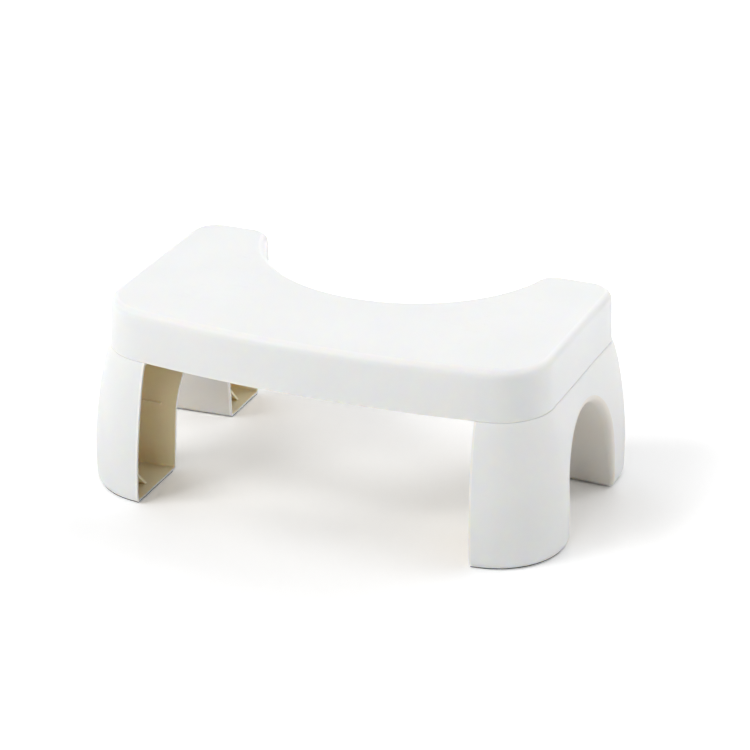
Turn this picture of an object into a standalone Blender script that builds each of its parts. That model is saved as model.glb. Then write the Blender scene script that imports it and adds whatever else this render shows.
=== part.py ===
"""Toilet footstool: a bowed, notched step that plugs onto two leg frames with rubber feet.

Lengths are in metres. X runs along the stool, the bowed edge faces -Y, the notch for the
toilet opens to +Y, and Z is up. The origin is on the floor, under the middle of the stool.
"""
import math

import bmesh
import bpy

# Overall sizes
LENGTH = 0.425
HEIGHT = 0.170
TOP_DEPTH = 0.2313
LEG_SWELL = 0.015

# Plan of the top at the lower edge of its skirt
BOW = 0.020
FRONT_CORNER_RADIUS = 0.048
REAR_CORNER_RADIUS = 0.026
NOTCH_RADIUS = 0.1285
NOTCH_DEPTH = 0.112
NOTCH_LIP_RADIUS = 0.0195
# The rear corner's radius takes at most this share of the horn between the notch and the end
CORNER_LIMIT_SHARE = 0.95

# Section of the top
SKIRT_HEIGHT = 0.0445
SKIRT_WALL = 0.0025
SKIRT_EDGE_CHAMFER = 0.0005
SKIRT_DRAFT = math.radians(1.7)
TOP_EDGE_RADIUS = 0.008
DECK_THICKNESS = 0.003
RIB_DEPTH = 0.017
RIB_THICKNESS = 0.002
RIB_PITCH = 0.036
SOCKET_WALL_THICKNESS = 0.002
SOCKET_WALL_LIFT = 0.003

# Leg frames, which reach in from the ends of the top
LEG_REACH = 0.0504
OPEN_SIDE_LEAN = math.radians(1.4)
LEG_WALL = 0.0025
LEG_FLOOR = 0.002
LEG_WIDEST_HEIGHT = 0.036
LEG_SWELL_POWER = 1.45
FOOT_TUCK = 0.003
FOOT_TUCK_POWER = 12
SHOULDER_THICKNESS = 0.0025
NECK_WALL = 0.0022
NECK_CLEARANCE = 0.0004
ROOF_THICKNESS = 0.0025

# Arch through each leg frame, measured at its outer side. Its sides spread towards the floor.
# Its tunnel widens inwards by the draft, and the skew turns the tunnel towards the back.
ARCH_Y = 0.0075
ARCH_RADIUS = 0.0517
ARCH_SPRING_HEIGHT = 0.049
ARCH_FRONT_SPREAD = math.radians(1.5)
ARCH_REAR_SPREAD = math.radians(9.5)
ARCH_DRAFT = math.radians(0.8)
ARCH_SKEW = math.radians(2.4)
ARCH_EDGE_RADIUS = 0.007
FOOT_CORNER_RADIUS = 0.0035
# The arch's outer edge keeps this share of its radius at the floor, where it is sharper
FLOOR_EDGE_SHARE = 0.5
# Inside its wall, the foot's rounded corner keeps at least this share of its radius
SKIN_CORNER_SHARE = 0.2

# Webs inside the feet
BRACE_REACH = 0.032
BRACE_THICKNESS = 0.002
WEB_SETBACK = 0.0115
LEDGE_HEIGHT = 0.061
LEDGE_SETBACK = 0.0155
LEDGE_PROUD = 0.003
LEDGE_THICKNESS = 0.002

# Rubber foot pads
PAD_PROUD = 0.0010
PAD_RECESS = 0.0007
PAD_INSET = 0.0018
PAD_CLEARANCE = 0.0004

# Fits, and how far cutters run past what they cut
SEAT_GAP = 0.0003
OVERRUN = 0.010

# How far each body of a leg runs past the open side before that side is trimmed flat; no two
# alike, so that no two of their end faces lie together
RUN_STEP = 0.005
LEG_RUN = OVERRUN
NECK_RUN = LEG_RUN + RUN_STEP
HOLLOW_RUN = NECK_RUN + RUN_STEP
NECK_HOLLOW_RUN = HOLLOW_RUN + RUN_STEP
TUNNEL_RUN = NECK_HOLLOW_RUN + RUN_STEP

# How finely the curves are divided
BOW_STEPS = 10
CORNER_STEPS = 9
LIP_STEPS = 7
NOTCH_STEPS = 14
EDGE_STEPS = 5
LEG_LEVELS = 11
TUCK_LEVELS = 5
ARCH_STEPS = 18
FOOT_CORNER_STEPS = 4
ARCH_EDGE_STEPS = 4

# The arch's edge rounding and the foot corner stop short of lying flat against the face
# that they run into, and leave it at these angles
ARCH_EDGE_END = math.radians(74)
FOOT_CORNER_END = math.radians(65)

# How closely the end of the bow is searched for, as a share of the top's half length
SEARCH_SHARE = 1e-9

# Heights and places worked out from the sizes above
TOP_HALF = LENGTH / 2 - LEG_SWELL
LEG_OPEN_X = TOP_HALF - LEG_REACH
BACK_Y = TOP_DEPTH / 2
FRONT_Y = -TOP_DEPTH / 2
SEAM_Z = HEIGHT - SKIRT_HEIGHT
DECK_UNDER_Z = HEIGHT - DECK_THICKNESS
RIB_UNDER_Z = DECK_UNDER_Z - RIB_DEPTH
SHOULDER_Z = SEAM_Z - SEAT_GAP
ROOF_Z = RIB_UNDER_Z - SEAT_GAP
FOOT_Z = PAD_PROUD
PAD_TOP_Z = FOOT_Z + PAD_RECESS - SEAT_GAP
NOTCH_CENTRE_Y = BACK_Y - NOTCH_DEPTH + NOTCH_RADIUS
SOCKET_WALL_X = LEG_OPEN_X - SEAT_GAP - SOCKET_WALL_THICKNESS / 2

PLASTIC_WHITE = (0.90, 0.90, 0.89, 1)
RUBBER_GREY = (0.09, 0.09, 0.09, 1)


def clear_scene():
    for old in list(bpy.data.objects):
        bpy.data.objects.remove(old, do_unlink=True)


def make_material(name, colour, roughness):
    material = bpy.data.materials.new(name)
    material.use_nodes = True
    shader = material.node_tree.nodes["Principled BSDF"]
    shader.inputs["Base Color"].default_value = colour
    shader.inputs["Roughness"].default_value = roughness
    shader.inputs["Metallic"].default_value = 0
    return material


def arc(centre, radius, start, end, steps):
    """Stations along an arc, each a point and the direction away from the arc's centre."""
    stations = []
    for step in range(steps + 1):
        angle = start + (end - start) * step / steps
        away = (math.cos(angle), math.sin(angle))
        point = (centre[0] + radius * away[0], centre[1] + radius * away[1])
        stations.append((point, away))
    return stations


def bow_station(x):
    """The bowed front edge at x, and its outward direction."""
    slope = 2 * BOW * x / TOP_HALF ** 2
    stretch = math.hypot(1, slope)
    return (x, FRONT_Y + BOW * (x / TOP_HALF) ** 2), (slope / stretch, -1 / stretch)


def bow_end():
    """The x at which the bow meets the front corner's arc, found by halving."""
    low, high = 0, TOP_HALF
    while high - low > TOP_HALF * SEARCH_SHARE:
        middle = (low + high) / 2
        point, normal = bow_station(middle)
        if point[0] - FRONT_CORNER_RADIUS * normal[0] < TOP_HALF - FRONT_CORNER_RADIUS:
            low = middle
        else:
            high = middle
    return low


def bow_stations(start_x):
    end_x = bow_end()
    return [bow_station(start_x + (end_x - start_x) * step / BOW_STEPS) for step in range(BOW_STEPS + 1)]


def front_corner():
    point, normal = bow_station(bow_end())
    centre = (point[0] - FRONT_CORNER_RADIUS * normal[0], point[1] - FRONT_CORNER_RADIUS * normal[1])
    return arc(centre, FRONT_CORNER_RADIUS, math.atan2(normal[1], normal[0]), 0, CORNER_STEPS)


def lip_centre():
    """The middle of the arc that rounds the horn's tip into the notch."""
    lip_y = BACK_Y - NOTCH_LIP_RADIUS
    reach = NOTCH_RADIUS + NOTCH_LIP_RADIUS
    return math.sqrt(reach ** 2 - (NOTCH_CENTRE_Y - lip_y) ** 2), lip_y


def rear_corner():
    radius = min(REAR_CORNER_RADIUS, (TOP_HALF - lip_centre()[0]) * CORNER_LIMIT_SHARE)
    return arc((TOP_HALF - radius, BACK_Y - radius), radius, 0, math.pi / 2, CORNER_STEPS)


def lip_and_notch():
    """The rounded horn tip and half of the round notch, to the middle of the stool."""
    lip_x, lip_y = lip_centre()
    meet = math.atan2(lip_y - NOTCH_CENTRE_Y, lip_x)
    lip = arc((lip_x, lip_y), NOTCH_LIP_RADIUS, math.pi / 2, math.pi + meet, LIP_STEPS)
    notch = arc((0, NOTCH_CENTRE_Y), NOTCH_RADIUS, meet, -math.pi / 2, NOTCH_STEPS)
    return lip, [(point, (-away[0], -away[1])) for point, away in notch]


def top_plan():
    """Stations all round the top, at the lower edge of its skirt."""
    lip, notch = lip_and_notch()
    half = bow_stations(0) + front_corner()[1:] + rear_corner() + lip + notch[1:]
    mirrored = [((-point[0], point[1]), (-normal[0], normal[1])) for point, normal in half[1:-1]]
    return half + mirrored[::-1]


def leg_plan(run):
    """Stations round a leg frame's front, outer side and back, run past its open side."""
    start_x = LEG_OPEN_X - run
    back_end = ((start_x, BACK_Y), (0, 1))
    return bow_stations(start_x) + front_corner()[1:] + rear_corner() + [back_end]


def swell(z):
    """How far the leg's outside stands out beyond the skirt at height z."""
    if z >= LEG_WIDEST_HEIGHT:
        rise = min((z - LEG_WIDEST_HEIGHT) / (SEAM_Z - LEG_WIDEST_HEIGHT), 1)
        return LEG_SWELL * (1 - rise ** LEG_SWELL_POWER) ** (1 / LEG_SWELL_POWER)
    fall = min((LEG_WIDEST_HEIGHT - z) / (LEG_WIDEST_HEIGHT - FOOT_Z), 1)
    return LEG_SWELL - FOOT_TUCK * fall ** FOOT_TUCK_POWER


def open_side_x(z):
    """Where a leg's open side stands at height z; below the seam it leans in under the top."""
    return LEG_OPEN_X + max(SEAM_Z - z, 0) * math.tan(OPEN_SIDE_LEAN)


def plan_shift():
    """Moves the plan along Y so that the widest part of the legs is centred on the origin."""
    back_reach = BACK_Y + LEG_SWELL
    open_x = open_side_x(LEG_WIDEST_HEIGHT)
    slant = bow_station(open_x)[1][0]
    point, normal = bow_station(open_x - LEG_SWELL * slant)
    front_reach = point[1] + LEG_SWELL * normal[1]
    return -(back_reach + front_reach) / 2


PLAN_Y = plan_shift()


def ring(stations, offset, z, side=1):
    """The plan's outline, moved outwards by an offset, at one height."""
    return [(side * (point[0] + normal[0] * offset), point[1] + normal[1] * offset + PLAN_Y, z)
            for point, normal in stations]


def loft(name, rings):
    """A closed solid through rings of the same number of points, by extruding its end face."""
    bm = bmesh.new()
    station = bm.verts.layers.int.new("station")
    corners = []
    for index, place in enumerate(rings[0]):
        vert = bm.verts.new(place)
        vert[station] = index
        corners.append(vert)
    start = face = bm.faces.new(corners)
    for places in rings[1:]:
        made = bmesh.ops.extrude_face_region(bm, geom=[face])["geom"]
        if face != start:
            bmesh.ops.delete(bm, geom=[face], context="FACES_ONLY")
        face = next(item for item in made if isinstance(item, bmesh.types.BMFace))
        for vert in face.verts:
            vert.co = places[vert[station]]
    bmesh.ops.recalc_face_normals(bm, faces=bm.faces)
    mesh = bpy.data.meshes.new(name)
    bm.to_mesh(mesh)
    bm.free()
    solid = bpy.data.objects.new(name, mesh)
    bpy.context.collection.objects.link(solid)
    return solid


def block(name, low, high):
    """A box between two corners."""
    base = [(low[0], low[1]), (high[0], low[1]), (high[0], high[1]), (low[0], high[1])]
    return loft(name, [[(x, y, z) for x, y in base] for z in (low[2], high[2])])


def boolean(target, operation, tool):
    """Cuts a tool from a solid, or joins or intersects them, and hides the tool."""
    change = target.modifiers.new(operation.lower() + "_" + tool.name, "BOOLEAN")
    change.operation = operation
    change.solver = "EXACT"
    change.object = tool
    tool.hide_render = True
    tool.display_type = "WIRE"


def skirt_inset(z):
    """How far the skirt's outside leans in at height z."""
    return (z - SEAM_Z) * math.tan(SKIRT_DRAFT)


def dome_rings(stations, wall, crown_z, radius):
    """Rings from the skirt's straight side over the rounded top edge to the flat crown."""
    rings = []
    start_z = crown_z - radius
    for step in range(EDGE_STEPS + 1):
        angle = math.pi / 2 * step / EDGE_STEPS
        inset = skirt_inset(start_z) + wall + radius * (1 - math.cos(angle))
        rings.append(ring(stations, -inset, start_z + radius * math.sin(angle)))
    return rings


def rib_places(low, high):
    """Places that part the space between two walls evenly, as near to the rib pitch as fits."""
    count = max(round((high - low) / RIB_PITCH), 1)
    return [low + (high - low) * step / count for step in range(1, count)]


def make_top(plastic):
    """The step: a notched cap with a tapered skirt, a rib lattice and two leg sockets."""
    plan = top_plan()
    shell_rings = [ring(plan, -SKIRT_EDGE_CHAMFER, SEAM_Z), ring(plan, 0, SEAM_Z + SKIRT_EDGE_CHAMFER)]
    top = loft("top", shell_rings + dome_rings(plan, 0, HEIGHT, TOP_EDGE_RADIUS))
    mouth = ring(plan, -SKIRT_WALL, SEAM_Z - OVERRUN)
    inner_radius = TOP_EDGE_RADIUS - SKIRT_WALL
    hollow = loft("top_hollow", [mouth] + dome_rings(plan, SKIRT_WALL, DECK_UNDER_Z, inner_radius))
    cross_ribs = rib_places(-SOCKET_WALL_X, SOCKET_WALL_X)
    cross_ribs += rib_places(-TOP_HALF, -SOCKET_WALL_X - RIB_THICKNESS)
    cross_ribs += rib_places(SOCKET_WALL_X + RIB_THICKNESS, TOP_HALF)
    for number, x in enumerate(cross_ribs):
        low = (x - RIB_THICKNESS / 2, FRONT_Y - OVERRUN + PLAN_Y, RIB_UNDER_Z)
        high = (x + RIB_THICKNESS / 2, BACK_Y + OVERRUN + PLAN_Y, HEIGHT + OVERRUN)
        boolean(hollow, "DIFFERENCE", block("cross_rib_space_%d" % number, low, high))
    for number, y in enumerate(rib_places(FRONT_Y, BACK_Y)):
        low = (-TOP_HALF - OVERRUN, y - RIB_THICKNESS / 2 + PLAN_Y, RIB_UNDER_Z)
        high = (TOP_HALF + OVERRUN, y + RIB_THICKNESS / 2 + PLAN_Y, HEIGHT + OVERRUN)
        boolean(hollow, "DIFFERENCE", block("long_rib_space_%d" % number, low, high))
    for side, label in ((1, "right"), (-1, "left")):
        x = side * SOCKET_WALL_X
        low = (x - SOCKET_WALL_THICKNESS / 2, FRONT_Y - OVERRUN + PLAN_Y, SEAM_Z + SOCKET_WALL_LIFT)
        high = (x + SOCKET_WALL_THICKNESS / 2, BACK_Y + OVERRUN + PLAN_Y, HEIGHT + OVERRUN)
        boolean(hollow, "DIFFERENCE", block("socket_wall_space_" + label, low, high))
    boolean(top, "DIFFERENCE", hollow)
    top.data.materials.append(plastic)
    return top


def leg_levels(bottom_z, top_z):
    """Heights for the leg's rings, closer together at the floor and under the seam."""
    drop = LEG_WIDEST_HEIGHT - bottom_z
    tucks = [math.pi / 2 * step / TUCK_LEVELS for step in range(TUCK_LEVELS)]
    low = [bottom_z + drop * (1 - math.cos(tuck)) for tuck in tucks]
    rise = top_z - LEG_WIDEST_HEIGHT
    turns = [math.pi / 2 * step / LEG_LEVELS for step in range(LEG_LEVELS + 1)]
    return low + [LEG_WIDEST_HEIGHT + rise * math.sin(turn) for turn in turns]


def leg_body(name, side, inset, bottom_z, top_z, run):
    plan = leg_plan(run)
    return loft(name, [ring(plan, swell(z) - inset, z, side) for z in leg_levels(bottom_z, top_z)])


def neck_body(name, side, inset, bottom_z, top_z, run):
    """The part of the leg that stands inside the skirt and follows its taper."""
    plan = leg_plan(run)
    return loft(name, [ring(plan, -inset - skirt_inset(z), z, side) for z in (bottom_z, top_z)])


def arch_reach(radius, spread, z):
    """How far an arch of this radius reaches to one side of its crown's middle at height z."""
    rise = z - ARCH_SPRING_HEIGHT
    if rise < radius * math.sin(spread):
        return radius / math.cos(spread) - rise * math.tan(spread)
    return math.sqrt(radius ** 2 - rise ** 2)


def arch_middle_y(x):
    """The middle of the arch's crown at x; the skew moves it back on the way in."""
    return ARCH_Y + (LENGTH / 2 - x) * math.tan(ARCH_SKEW)


def arch_radius(x):
    return ARCH_RADIUS + (LENGTH / 2 - x) * math.tan(ARCH_DRAFT)


def arch_sides(x, wall, z):
    """The Y of the arch's front and rear side at x and height z, moved out by a wall."""
    radius = arch_radius(x) + wall
    front_y = arch_middle_y(x) - arch_reach(radius, ARCH_FRONT_SPREAD, z)
    return front_y, arch_middle_y(x) + arch_reach(radius, ARCH_REAR_SPREAD, z)


def arch_section(x, wall, corner_radius, flare=0):
    """Round crown on spreading sides with rounded feet, as points in Y and Z. A flare widens it,
    less so towards the floor."""
    sharpen = math.atan(flare * (1 - FLOOR_EDGE_SHARE) / ARCH_SPRING_HEIGHT)
    front_spread = ARCH_FRONT_SPREAD - sharpen
    rear_spread = ARCH_REAR_SPREAD - sharpen
    radius = arch_radius(x) + wall + flare
    middle_y = arch_middle_y(x)
    corner_z = FOOT_Z + FOOT_CORNER_RADIUS
    front_y = middle_y - arch_reach(radius + corner_radius, front_spread, corner_z)
    rear_y = middle_y + arch_reach(radius + corner_radius, rear_spread, corner_z)
    front_ends = (-FOOT_CORNER_END, -front_spread)
    rear_ends = (math.pi + rear_spread, math.pi + FOOT_CORNER_END)
    crown_ends = (math.pi - front_spread, rear_spread)
    front = arc((front_y, corner_z), corner_radius, *front_ends, FOOT_CORNER_STEPS)
    crown = arc((middle_y, ARCH_SPRING_HEIGHT), radius, *crown_ends, ARCH_STEPS)
    rear = arc((rear_y, corner_z), corner_radius, *rear_ends, FOOT_CORNER_STEPS)
    points = [point for point, away in front + crown + rear]
    return [(points[0][0], -OVERRUN)] + points + [(points[-1][0], -OVERRUN)]


def edge_share(z):
    """The share of its radius that the arch's outer edge has at height z."""
    rise = min(max(z / ARCH_SPRING_HEIGHT, 0), 1)
    return FLOOR_EDGE_SHARE + (1 - FLOOR_EDGE_SHARE) * rise


def arch_tunnel(name, side, wall):
    """The space through the arch, or with a wall the space's skin, rounded at its outer edge."""
    start_x = LEG_OPEN_X - TUNNEL_RUN
    corner_radius = max(FOOT_CORNER_RADIUS - wall, FOOT_CORNER_RADIUS * SKIN_CORNER_SHARE)
    section = arch_section(start_x, wall, corner_radius)
    rings = [[(side * start_x, y + PLAN_Y, z) for y, z in section]]
    tip = ARCH_EDGE_RADIUS - wall
    steps = []
    for step in range(ARCH_EDGE_STEPS + 1):
        angle = ARCH_EDGE_END * step / ARCH_EDGE_STEPS
        steps.append((-wall - tip * (1 - math.sin(angle)), tip * (1 - math.cos(angle))))
    depth, flare = steps[-1]
    steps.append((OVERRUN, flare + (OVERRUN - depth) * math.tan(ARCH_EDGE_END)))
    for depth, flare in steps:
        ring_points = []
        for y, z in arch_section(LENGTH / 2, wall, corner_radius, flare):
            x = TOP_HALF + swell(z) + depth * edge_share(z)
            ring_points.append((side * x, y + PLAN_Y, z))
        rings.append(ring_points)
    end_x = LENGTH / 2 + OVERRUN + OVERRUN
    rings.append([(side * end_x, y, z) for x, y, z in ring_points])
    return loft(name, rings)


def brace_space(name, side, wall_y):
    """The slanting web between a foot's front-facing wall and its floor."""
    floor_z = FOOT_Z + LEG_FLOOR
    run = OVERRUN
    lean = BRACE_THICKNESS * math.sqrt(2)
    low_y = wall_y + BRACE_REACH + run
    high_y = wall_y - run
    low_z = floor_z - run
    high_z = floor_z + BRACE_REACH + run
    section = [(high_y, high_z), (low_y, low_z), (low_y - lean, low_z), (high_y, high_z - lean)]
    ends = (LEG_OPEN_X + WEB_SETBACK, LENGTH / 2 + OVERRUN)
    return loft(name, [[(side * x, y + PLAN_Y, z) for y, z in section] for x in ends])


def ledge_space(name, side):
    """A low ledge along the arch's skin, inside each foot."""
    open_x = LEG_OPEN_X + LEDGE_SETBACK
    front_y, rear_y = arch_sides(open_x, LEG_WALL + LEDGE_PROUD, LEDGE_HEIGHT)
    near_x = side * open_x
    far_x = side * (LENGTH / 2 + OVERRUN)
    low = (min(near_x, far_x), front_y + PLAN_Y, LEDGE_HEIGHT - LEDGE_THICKNESS / 2)
    high = (max(near_x, far_x), rear_y + PLAN_Y, LEDGE_HEIGHT + LEDGE_THICKNESS / 2)
    return block(name, low, high)


def foot_pad(name, side, foot, grow, top_z, bottom_z):
    """A flat pad under one foot, inset from the foot's edges; grown, it cuts the pad's recess."""
    inset = PAD_INSET - grow
    plan = leg_plan(OVERRUN)
    pad = loft(name, [ring(plan, swell(FOOT_Z) - inset, z, side) for z in (bottom_z, top_z)])
    open_x = open_side_x(FOOT_Z)
    corner_z = FOOT_Z + FOOT_CORNER_RADIUS
    front_y = arch_sides(LENGTH / 2, FOOT_CORNER_RADIUS, corner_z)[0] - inset
    rear_y = arch_sides(open_x, FOOT_CORNER_RADIUS, corner_z)[1] + inset
    near_x = side * (open_x + inset)
    far_x = side * (LENGTH / 2 + OVERRUN)
    far_y = TOP_DEPTH / 2 + LEG_SWELL + OVERRUN
    ys = (-far_y, front_y) if foot == "front" else (rear_y, far_y)
    low = (min(near_x, far_x), ys[0] + PLAN_Y, bottom_z - OVERRUN)
    high = (max(near_x, far_x), ys[1] + PLAN_Y, top_z + OVERRUN)
    boolean(pad, "INTERSECT", block(name + "_bounds", low, high))
    return pad


def open_side_space(name, side):
    """What is trimmed off a leg to leave its open side flat."""
    past_x = LEG_OPEN_X - TUNNEL_RUN
    section = [(past_x, -OVERRUN), (open_side_x(-OVERRUN), -OVERRUN), (LEG_OPEN_X, SEAM_Z)]
    section += [(LEG_OPEN_X, HEIGHT), (past_x, HEIGHT)]
    return loft(name, [[(side * x, y, z) for x, z in section] for y in (-LENGTH, LENGTH)])


def make_leg(label, side, plastic):
    """A dish-shaped frame, open towards the middle: two feet, the arch between them, and a neck."""
    name = "leg_" + label
    leg = leg_body(name, side, 0, FOOT_Z, SHOULDER_Z, LEG_RUN)
    neck_inset = SKIRT_WALL + NECK_CLEARANCE
    neck_start = SHOULDER_Z - SHOULDER_THICKNESS / 2
    boolean(leg, "UNION", neck_body(name + "_neck", side, neck_inset, neck_start, ROOF_Z, NECK_RUN))
    boolean(leg, "DIFFERENCE", arch_tunnel(name + "_arch", side, 0))

    floor_z = FOOT_Z + LEG_FLOOR
    shoulder_under_z = SHOULDER_Z - SHOULDER_THICKNESS
    hollow = leg_body(name + "_hollow", side, LEG_WALL, floor_z, shoulder_under_z, HOLLOW_RUN)
    neck_hollow_ends = (shoulder_under_z - SHOULDER_THICKNESS, ROOF_Z - ROOF_THICKNESS)
    inset = neck_inset + NECK_WALL
    neck_hollow = neck_body(name + "_neck_hollow", side, inset, *neck_hollow_ends, NECK_HOLLOW_RUN)
    boolean(hollow, "UNION", neck_hollow)
    boolean(hollow, "DIFFERENCE", arch_tunnel(name + "_arch_skin", side, LEG_WALL))
    front_wall_y = bow_station(LEG_OPEN_X)[0][1] - swell(floor_z) + LEG_WALL
    rear_wall_y = arch_sides(LEG_OPEN_X + WEB_SETBACK, LEG_WALL, floor_z)[1]
    boolean(hollow, "DIFFERENCE", brace_space(name + "_front_brace", side, front_wall_y))
    boolean(hollow, "DIFFERENCE", brace_space(name + "_rear_brace", side, rear_wall_y))
    boolean(hollow, "DIFFERENCE", ledge_space(name + "_ledge", side))
    boolean(leg, "DIFFERENCE", hollow)

    for foot in ("front", "back"):
        recess_name = "%s_%s_recess" % (name, foot)
        recess_ends = (FOOT_Z + PAD_RECESS, FOOT_Z - OVERRUN)
        boolean(leg, "DIFFERENCE", foot_pad(recess_name, side, foot, PAD_CLEARANCE, *recess_ends))
    boolean(leg, "DIFFERENCE", open_side_space(name + "_open_side", side))
    leg.data.materials.append(plastic)
    return leg


def make_slide(label, side):
    """An empty at the leg's shoulder, on the line along which the leg pulls out of the top."""
    slide = bpy.data.objects.new("slide_" + label, None)
    slide.location = (side * (LEG_OPEN_X + TOP_HALF) / 2, 0, SEAM_Z)
    bpy.context.collection.objects.link(slide)
    return slide


def carry(child, parent):
    child.parent = parent
    child.matrix_parent_inverse = parent.matrix_world.inverted()


def build():
    clear_scene()
    plastic = make_material("white_polypropylene", PLASTIC_WHITE, 0.42)
    rubber = make_material("grey_rubber", RUBBER_GREY, 0.75)
    make_top(plastic)
    for label, side in (("left", -1), ("right", 1)):
        slide = make_slide(label, side)
        bpy.context.view_layer.update()
        carry(make_leg(label, side, plastic), slide)
        for foot in ("front", "back"):
            pad = foot_pad("foot_pad_%s_%s" % (foot, label), side, foot, 0, PAD_TOP_Z, 0)
            pad.data.materials.append(rubber)
            carry(pad, slide)
    bpy.context.view_layer.update()


build()
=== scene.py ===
"""Looks of the toilet footstool: fine mouldings, their plastic and rubber, and the studio.

Lengths are in metres. X runs along the stool, the bowed edge faces -Y, the notch opens to +Y.
"""
import math
import bmesh
import bpy
from mathutils import Matrix, Vector
from types import SimpleNamespace


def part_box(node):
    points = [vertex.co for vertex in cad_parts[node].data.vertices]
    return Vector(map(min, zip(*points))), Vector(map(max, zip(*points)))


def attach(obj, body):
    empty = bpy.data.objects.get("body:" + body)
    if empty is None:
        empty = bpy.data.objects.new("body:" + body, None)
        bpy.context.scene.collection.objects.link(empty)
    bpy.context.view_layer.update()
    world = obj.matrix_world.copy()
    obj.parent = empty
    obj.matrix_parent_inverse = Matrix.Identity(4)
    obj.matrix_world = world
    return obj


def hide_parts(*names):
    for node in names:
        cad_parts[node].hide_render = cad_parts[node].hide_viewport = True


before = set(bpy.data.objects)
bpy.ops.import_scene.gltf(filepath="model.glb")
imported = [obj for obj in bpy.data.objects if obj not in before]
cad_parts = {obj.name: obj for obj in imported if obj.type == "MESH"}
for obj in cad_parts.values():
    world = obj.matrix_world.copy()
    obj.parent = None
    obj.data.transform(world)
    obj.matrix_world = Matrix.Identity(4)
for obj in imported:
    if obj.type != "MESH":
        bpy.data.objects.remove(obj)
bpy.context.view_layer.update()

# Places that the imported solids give
top_low, top_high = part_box("top")
leg_low, leg_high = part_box("leg_right")
HEIGHT = top_high.z
SEAM_Z = top_low.z
TOP_HALF = top_high.x
FRONT_Y = top_low.y
BACK_Y = top_high.y
LEG_END_X = leg_high.x
LEG_SWELL = LEG_END_X - TOP_HALF
LEG_OPEN_X = leg_low.x
FOOT_Z = leg_low.z
ROOF_Z = leg_high.z
PAD_TOP_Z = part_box("foot_pad_front_right")[1].z

# Plan of the top
BOW = 0.020
FRONT_CORNER_RADIUS = 0.048
REAR_CORNER_RADIUS = 0.026
NOTCH_RADIUS = 0.1285
NOTCH_DEPTH = 0.112
NOTCH_LIP_RADIUS = 0.0195
NOTCH_CENTRE_Y = BACK_Y - NOTCH_DEPTH + NOTCH_RADIUS

# Section of the top
SKIRT_WALL = 0.0025
SKIRT_EDGE_RADIUS = 0.0006
SKIRT_DRAFT = math.radians(1.7)
TOP_EDGE_RADIUS = 0.008
CROWN_INSET = 1.3 * TOP_EDGE_RADIUS
DECK_UNDER_Z = HEIGHT - 0.003
RIB_UNDER_Z = DECK_UNDER_Z - 0.017
RIB_THICKNESS = 0.002
RIB_PITCH = 0.036
SEAT_GAP = 0.0003
SOCKET_WALL_X = LEG_OPEN_X - SEAT_GAP - RIB_THICKNESS / 2
SOCKET_WALL_LIFT = 0.003

# Leg frames
OPEN_SIDE_LEAN = math.radians(1.4)
LEG_WALL = 0.0025
LEG_FLOOR = 0.002
LEG_WIDEST_HEIGHT = 0.036
LEG_SWELL_POWER = 1.45
FOOT_TUCK = 0.003
FOOT_TUCK_POWER = 12
SEAM_GAP = 0.00015
SHOULDER_Z = SEAM_Z - SEAM_GAP
SHOULDER_THICKNESS = 0.0025
NECK_INSET = SKIRT_WALL + 0.0004
NECK_WALL = 0.0022
ROOF_THICKNESS = 0.0025

# Arch, measured at its outer side; its tunnel widens inwards and turns towards the back
ARCH_Y = (FRONT_Y + BACK_Y) / 2 + 0.0075
ARCH_RADIUS = 0.0517
ARCH_SPRING_HEIGHT = 0.049
ARCH_FRONT_SPREAD = math.radians(1.5)
ARCH_REAR_SPREAD = math.radians(9.5)
ARCH_DRAFT = math.radians(0.8)
ARCH_SKEW = math.radians(2.4)
ARCH_EDGE_RADIUS = 0.007
ARCH_EDGE_END = math.radians(85)
FLOOR_EDGE_SHARE = 0.5
FOOT_CORNER_RADIUS = 0.0035
FOOT_CORNER_END = math.radians(80)

# Webs inside the feet
BRACE_REACH = 0.032
BRACE_THICKNESS = 0.002
WEB_SETBACK = 0.0115
LEDGE_HEIGHT = 0.061
LEDGE_SETBACK = 0.0155
LEDGE_PROUD = 0.0022
LEDGE_THICKNESS = 0.0016

# Rubber pads
PAD_RECESS_Z = PAD_TOP_Z + SEAT_GAP
PAD_INSET = 0.0018
PAD_CLEARANCE = 0.0004
# The pad's lip reaches out to the foot's edge; its dark rubber there is partly painted contact shade
PAD_SHADE_LIP_INSET = 0.0003
PAD_SHADE_LIP_GAP = 0.0001

# How far cutters run past what they cut
OVERRUN = 0.010
RUN_STEP = 0.005
ARCH_OVERRUN = 0.0005
PAST_OPEN_X = LEG_OPEN_X - OVERRUN - 4 * RUN_STEP
PAST_BACK_Y = LEG_END_X

# How solids are welded and their sharp edges softened
WELD = 0.00002
SHARP_EDGE = math.radians(38)
PLASTIC_EDGE = 0.00035
RUBBER_EDGE = 0.0002

# How many steps each curve is divided into
BOW_STEPS = 36
LEG_BOW_STEPS = 12
FRONT_CORNER_STEPS = 24
END_STEPS = 20
REAR_CORNER_STEPS = 20
LEG_BACK_STEPS = 6
LIP_STEPS = 20
NOTCH_STEPS = 44
TOP_EDGE_STEPS = 10
SKIRT_EDGE_STEPS = 4
TUCK_STEPS = 14
SWELL_STEPS = 24
FOOT_CORNER_STEPS = 8
ARCH_SIDE_STEPS = 10
ARCH_CROWN_STEPS = 56
ARCH_EDGE_STEPS = 8
HALVINGS = 40

# Colours
WHITE = (0.866, 0.880, 0.878)
# Painted highlight laid on the top edge's shoulder
SHOULDER_HIGHLIGHT_WHITE = (0.935, 0.943, 0.937)
SCRATCHED_WHITE = (0.78, 0.78, 0.77)
# Painted shade: a darker, warmer copy of the white for the arch tunnel, standing for its shade and warm
# bounce
ARCH_SHADED_WHITE = (0.84, 0.81, 0.755)
# Painted glow: cream for rims and open edges, standing for light glowing out of the milky plastic's edges
GLOW_CREAM = (0.96, 0.95, 0.90)
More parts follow.
